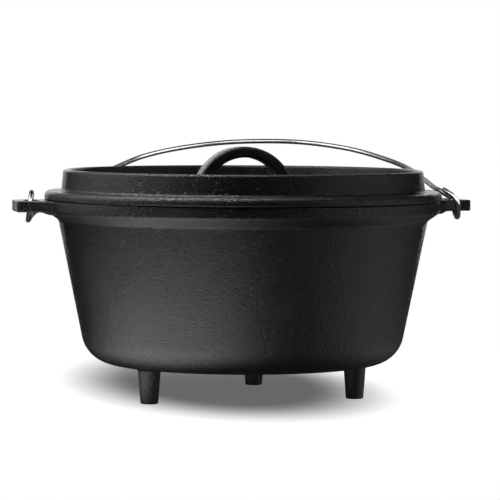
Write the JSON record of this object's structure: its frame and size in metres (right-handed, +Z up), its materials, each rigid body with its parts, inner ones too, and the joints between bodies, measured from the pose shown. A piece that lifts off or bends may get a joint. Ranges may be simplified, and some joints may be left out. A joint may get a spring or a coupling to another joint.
{
  "type": "cast iron dutch oven",
  "caption": "Cast iron camp pot on short legs with slotted ears, a flanged lid with a raised coal rim and loop handle, and a swinging steel wire bail.",
  "frame": {"origin": "centre of the pot's flat underside, on the pot's axis; the legs reach below it", "axes": "+Z up along the pot's axis, +X towards the right ear, +Y towards the back, where the bail leans"},
  "size_m": [0.382, 0.4049, 0.2101],
  "materials": {
    "seasoned_iron": "pre-seasoned sand-cast iron, satin black with a fine pebbled grain",
    "zinc_wire": "bright drawn steel wire, zinc plated"
  },
  "bodies": {
    "pot": {"pot_body": "seasoned_iron", "left_ear": "seasoned_iron", "right_ear": "seasoned_iron", "front_left_leg": "seasoned_iron", "front_right_leg": "seasoned_iron", "rear_leg": "seasoned_iron"},
    "lid": {"lid": "seasoned_iron", "lid_handle": "seasoned_iron"},
    "bail": {"bail": "zinc_wire"}
  },
  "joints": [
    {"name": "lid_lift", "type": "slide", "parent": "pot", "child": "lid", "axis": [0, 0, 1], "range_m": [0, 0.12]},
    {"name": "bail_swing", "type": "hinge", "parent": "pot", "child": "bail", "pos_m": [0, 0, 0.13105], "axis": [0.9934, -0.1148, 0], "range_deg": [0, 156]}
  ]
}
